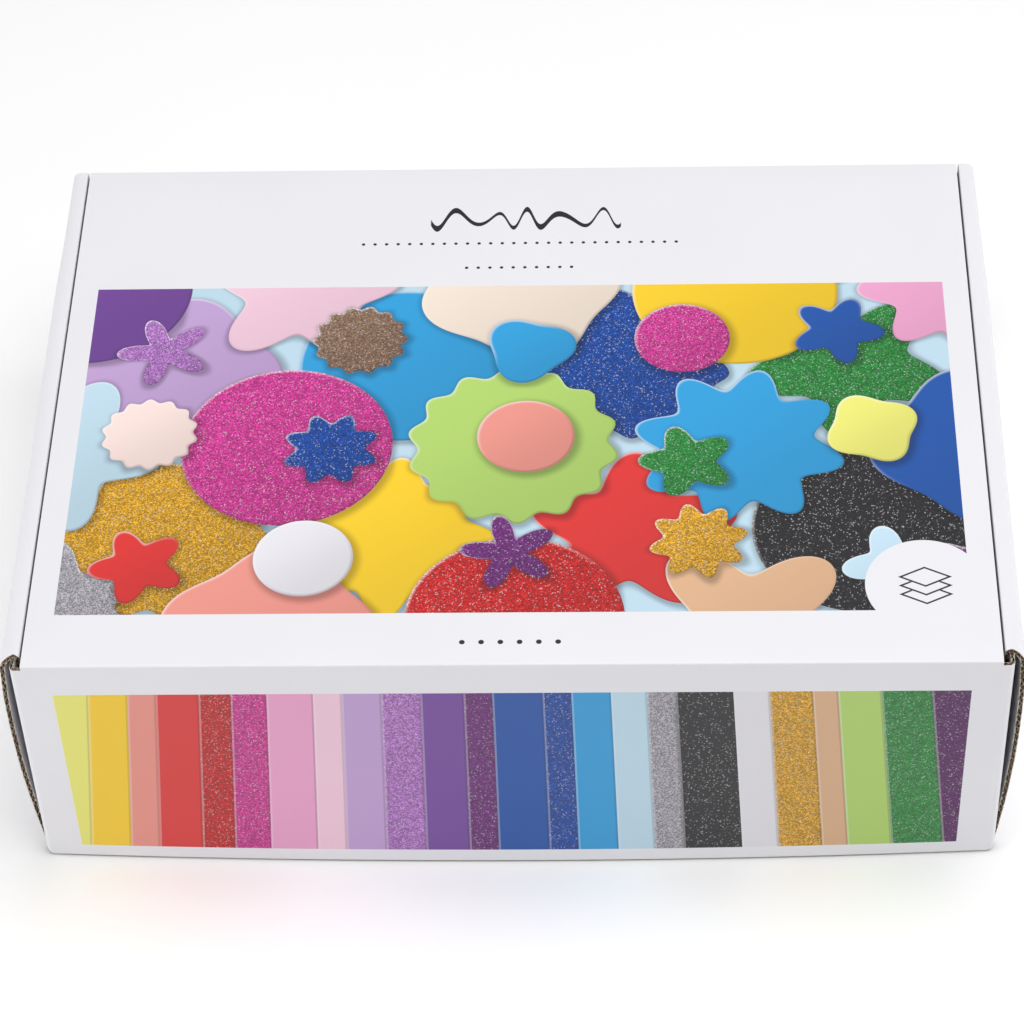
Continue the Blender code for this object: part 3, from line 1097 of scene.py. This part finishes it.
def stripe_picture():
    """Slightly fanned stripes, each lighter along its left edge and shaded along its right."""
    graph = Graph("flap_picture")
    place = millimetres(graph)
    half = (FLAP_PICTURE[1][0] - FLAP_PICTURE[0][0]) / 2 / MM
    share = fan_share(graph, place, half)
    stripes = stripe_bands()
    own, glitter = graph.steps(share, stripes)
    shown = glittered(graph, place, own, glitter)
    step = EDGE_WIDTH / (2 * half)
    for side, strength, edge_colour in ((-step, 0.22, LIT_STRIPE_EDGE), (step, 0.25, DARK_EDGE)):
        beside = graph.steps(graph.math("ADD", share, side), stripes)[0]
        differs = graph.length(graph.vector("SUBTRACT", beside, own))
        shown = graph.mix(graph.fade(differs, 0.0, 0.02, 0.0, strength), shown, edge_colour)
    return paper(graph, shown, SATIN - 0.04)


# The lid's rows of dots: height, half length, pitch and the dots' radius, in millimetres
DOT_ROWS = ((76.5, 56, 4, 0.6), (64.5, 20, 4, 0.6), (-102.5, 18, 6, 0.9))

# The lid's flourish, in millimetres, and its three waves in radians per millimetre
FLOURISH_HEIGHT = 88.5
FLOURISH_MIDDLE = 2.0
FLOURISH_HALF = 33.0
DRIFT_WAVE = 0.17
BEAT_WAVE = 0.52
SWELL_WAVE = 0.23


def flourish(graph, x, y):
    """Where the brushed, uneven wave is printed."""
    drift = graph.math("SINE", graph.math("MULTIPLY", x, DRIFT_WAVE))
    turn = graph.math("MULTIPLY", x, BEAT_WAVE)
    beat = graph.math("SINE", graph.math("MULTIPLY_ADD", drift, 0.9, turn))
    swell = graph.math("SINE", graph.math("MULTIPLY_ADD", x, SWELL_WAVE, 1.1))
    size = graph.math("MULTIPLY_ADD", swell, 1.3, 3.6)
    centre = graph.math("MULTIPLY_ADD", beat, size, FLOURISH_HEIGHT)
    off = graph.math("ABSOLUTE", graph.math("SUBTRACT", y, centre))
    brush = graph.math("MULTIPLY_ADD", drift, 0.35, 1.15)
    stroke = graph.fade(graph.math("SUBTRACT", off, brush), 0.15, -0.15)
    along = graph.math("ABSOLUTE", graph.math("SUBTRACT", x, FLOURISH_MIDDLE))
    within = graph.fade(along, FLOURISH_HALF + 0.2, FLOURISH_HALF - 0.2)
    return graph.math("MULTIPLY", stroke, within)


def dot_row(graph, x, y, height, half, pitch, radius):
    """Where one row of dots is printed."""
    cell = graph.math("SUBTRACT", graph.math("FRACT", graph.math("DIVIDE", x, float(pitch))), 0.5)
    across = graph.math("MULTIPLY", cell, float(pitch))
    along = graph.math("SUBTRACT", y, float(height))
    distance = graph.length(graph.combine(across, along))
    dot = graph.fade(distance, radius + SOFTNESS, radius - SOFTNESS)
    within = graph.fade(graph.math("ABSOLUTE", x), half + 0.2, half - 0.2)
    return graph.math("MULTIPLY", dot, within)


def marked_board():
    """White board with the lid's black marks: a brushed flourish and three rows of dots."""
    graph = Graph("marked_board")
    x, y, _ = graph.parts(millimetres(graph))
    colour = graph.mix(flourish(graph, x, y), WHITE, BLACK)
    for row in DOT_ROWS:
        colour = graph.mix(dot_row(graph, x, y, *row), colour, BLACK)
    return paper(graph, colour, SATIN)


def foam_material(slot, colour, seed):
    """Closed-cell foam: fine pores with painted shade darkening their pits, and a soft, dry surface.
    """
    graph = Graph(slot)
    place = graph.vector("ADD", millimetres(graph), (seed * 17.0, 0, 0))
    pores = graph.node("TexVoronoi", {"Vector": place, "Scale": 2.2}).outputs["Distance"]
    tone = graph.fade(graph.grain(place, 0.09, 4.0), 0.3, 0.7, 0.965, 1.0)
    # Painted shade: the colour gets up to a tenth darker in the pores' pits, where the bump lies
    # lowest.
    painted_pit_shade = graph.fade(pores, 0.0, 0.35, 0.9, 1.0)
    shown = graph.shade((*colour, 1), graph.math("MULTIPLY", tone, painted_pit_shade))
    graph.bump(graph.math("MULTIPLY", pores, 0.03 * MM))
    graph.shader.inputs["Sheen Weight"].default_value = 0.25
    graph.shader.inputs["Sheen Roughness"].default_value = 0.6
    return graph.finish(shown, 0.82)


# Putting the pieces on their bodies

def dress(pieces, body, node, slot):
    for piece in pieces:
        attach(piece, body)
        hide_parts(node)


def dress_all():
    slots = {part["node"]: part["material_slot"] for part in frame["record"]["subparts"]}
    colours = {entry["slot"]: entry["base_color"] for entry in frame["record"]["materials"]}
    white, cut, kraft = white_board(), cut_edge(), inner_kraft()
    skins = [white, kraft, cut, white]
    dress(make_tray(skins), "box", "tray", slots["tray"])
    lid_skins = [white, kraft, cut, lid_picture(), marked_board()]
    dress(make_lid(lid_skins), "lid", "lid", slots["lid"])
    flap_skins = [white, kraft, cut, stripe_picture()]
    dress(make_flap(flap_skins), "front_flap", "front_flap", slots["front_flap"])
    for node, side in (("left_ear", -1), ("right_ear", 1)):
        dress(make_ear(node, side, skins), "front_flap", node, slots[node])
    foams = {}
    sheets = sorted(name for name in frame["nodes"] if name.startswith("foam_sheet_"))
    for seed, node in enumerate(sheets):
        slot = slots[node]
        if slot not in foams:
            foams[slot] = foam_material(slot, colours[slot], seed)
        dress([make_foam(node, foams[slot], seed)], "box", node, slot)


# Camera, light and floor

# The camera's place and its turns about Z, X and its own axis, as solved from the photograph
CAMERA_PLACE = (0.03962, -0.80447, 0.9408)
CAMERA_TURNS = (0.052816, 0.7318, -0.046363)
LENS = 123.9
SENSOR = 36

FLOOR_HALF = 3
FLOOR_DROP = 0.2 * MM

LIGHT_TARGET = (0, 0, 0.05)
SKY_STRENGTH = 0.36

# Area lights: name, place, size and power
LIGHTS = (
    ("overhead", (0.24, -0.08, 1.5), (1.3, 1.2), 16.5),
    ("left_fill", (-1.5, -0.4, 0.6), (0.8, 0.8), 6.0),
    ("right_fill", (1.5, -0.12, 0.4), (0.8, 0.6), 5.0),
    ("front_fill", (-0.75, -0.85, 0.25), (0.6, 0.4), 1.2),
)


def make_camera():
    camera = bpy.data.cameras.new("camera")
    camera.lens = LENS
    camera.sensor_width = SENSOR
    thing = bpy.data.objects.new("camera", camera)
    heading, tilt, roll = CAMERA_TURNS
    turn = Matrix.Rotation(heading, 4, "Z") @ Matrix.Rotation(tilt, 4, "X")
    turn = turn @ Matrix.Rotation(roll, 4, "Z")
    thing.matrix_world = Matrix.Translation(CAMERA_PLACE) @ turn
    bpy.context.scene.collection.objects.link(thing)
    bpy.context.scene.camera = thing


def make_floor():
    graph = Graph("floor")
    graph.finish((0.98, 0.98, 0.98, 1), 0.8)
    corners = [(x * FLOOR_HALF, y * FLOOR_HALF, 0) for x, y in ((-1, -1), (1, -1), (1, 1), (-1, 1))]
    mesh = bpy.data.meshes.new("floor")
    mesh.from_pydata(corners, [], [(0, 1, 2, 3)])
    mesh.materials.append(graph.material)
    floor = bpy.data.objects.new("floor", mesh)
    floor.location.z = -FLOOR_DROP
    bpy.context.scene.collection.objects.link(floor)
    floor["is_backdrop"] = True


def area_light(name, place, size, power):
    light = bpy.data.lights.new(name, "AREA")
    light.shape = "RECTANGLE"
    light.size, light.size_y = size
    light.energy = power
    thing = bpy.data.objects.new(name, light)
    thing.location = place
    aim = Vector(LIGHT_TARGET) - Vector(place)
    thing.rotation_euler = aim.to_track_quat("-Z", "Y").to_euler()
    bpy.context.scene.collection.objects.link(thing)


def make_light():
    world = bpy.data.worlds.new("studio")
    bpy.context.scene.world = world
    world.use_nodes = True
    background = world.node_tree.nodes["Background"]
    background.inputs["Color"].default_value = (1, 1, 1, 1)
    background.inputs["Strength"].default_value = SKY_STRENGTH
    for light in LIGHTS:
        area_light(*light)
    bpy.context.scene.view_settings.view_transform = "Standard"


dress_all()
make_camera()
make_floor()
make_light()

sizes = {"cad": cad_box, "visual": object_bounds()}
{key: [list(corner) for corner in box] for key, box in sizes.items()}
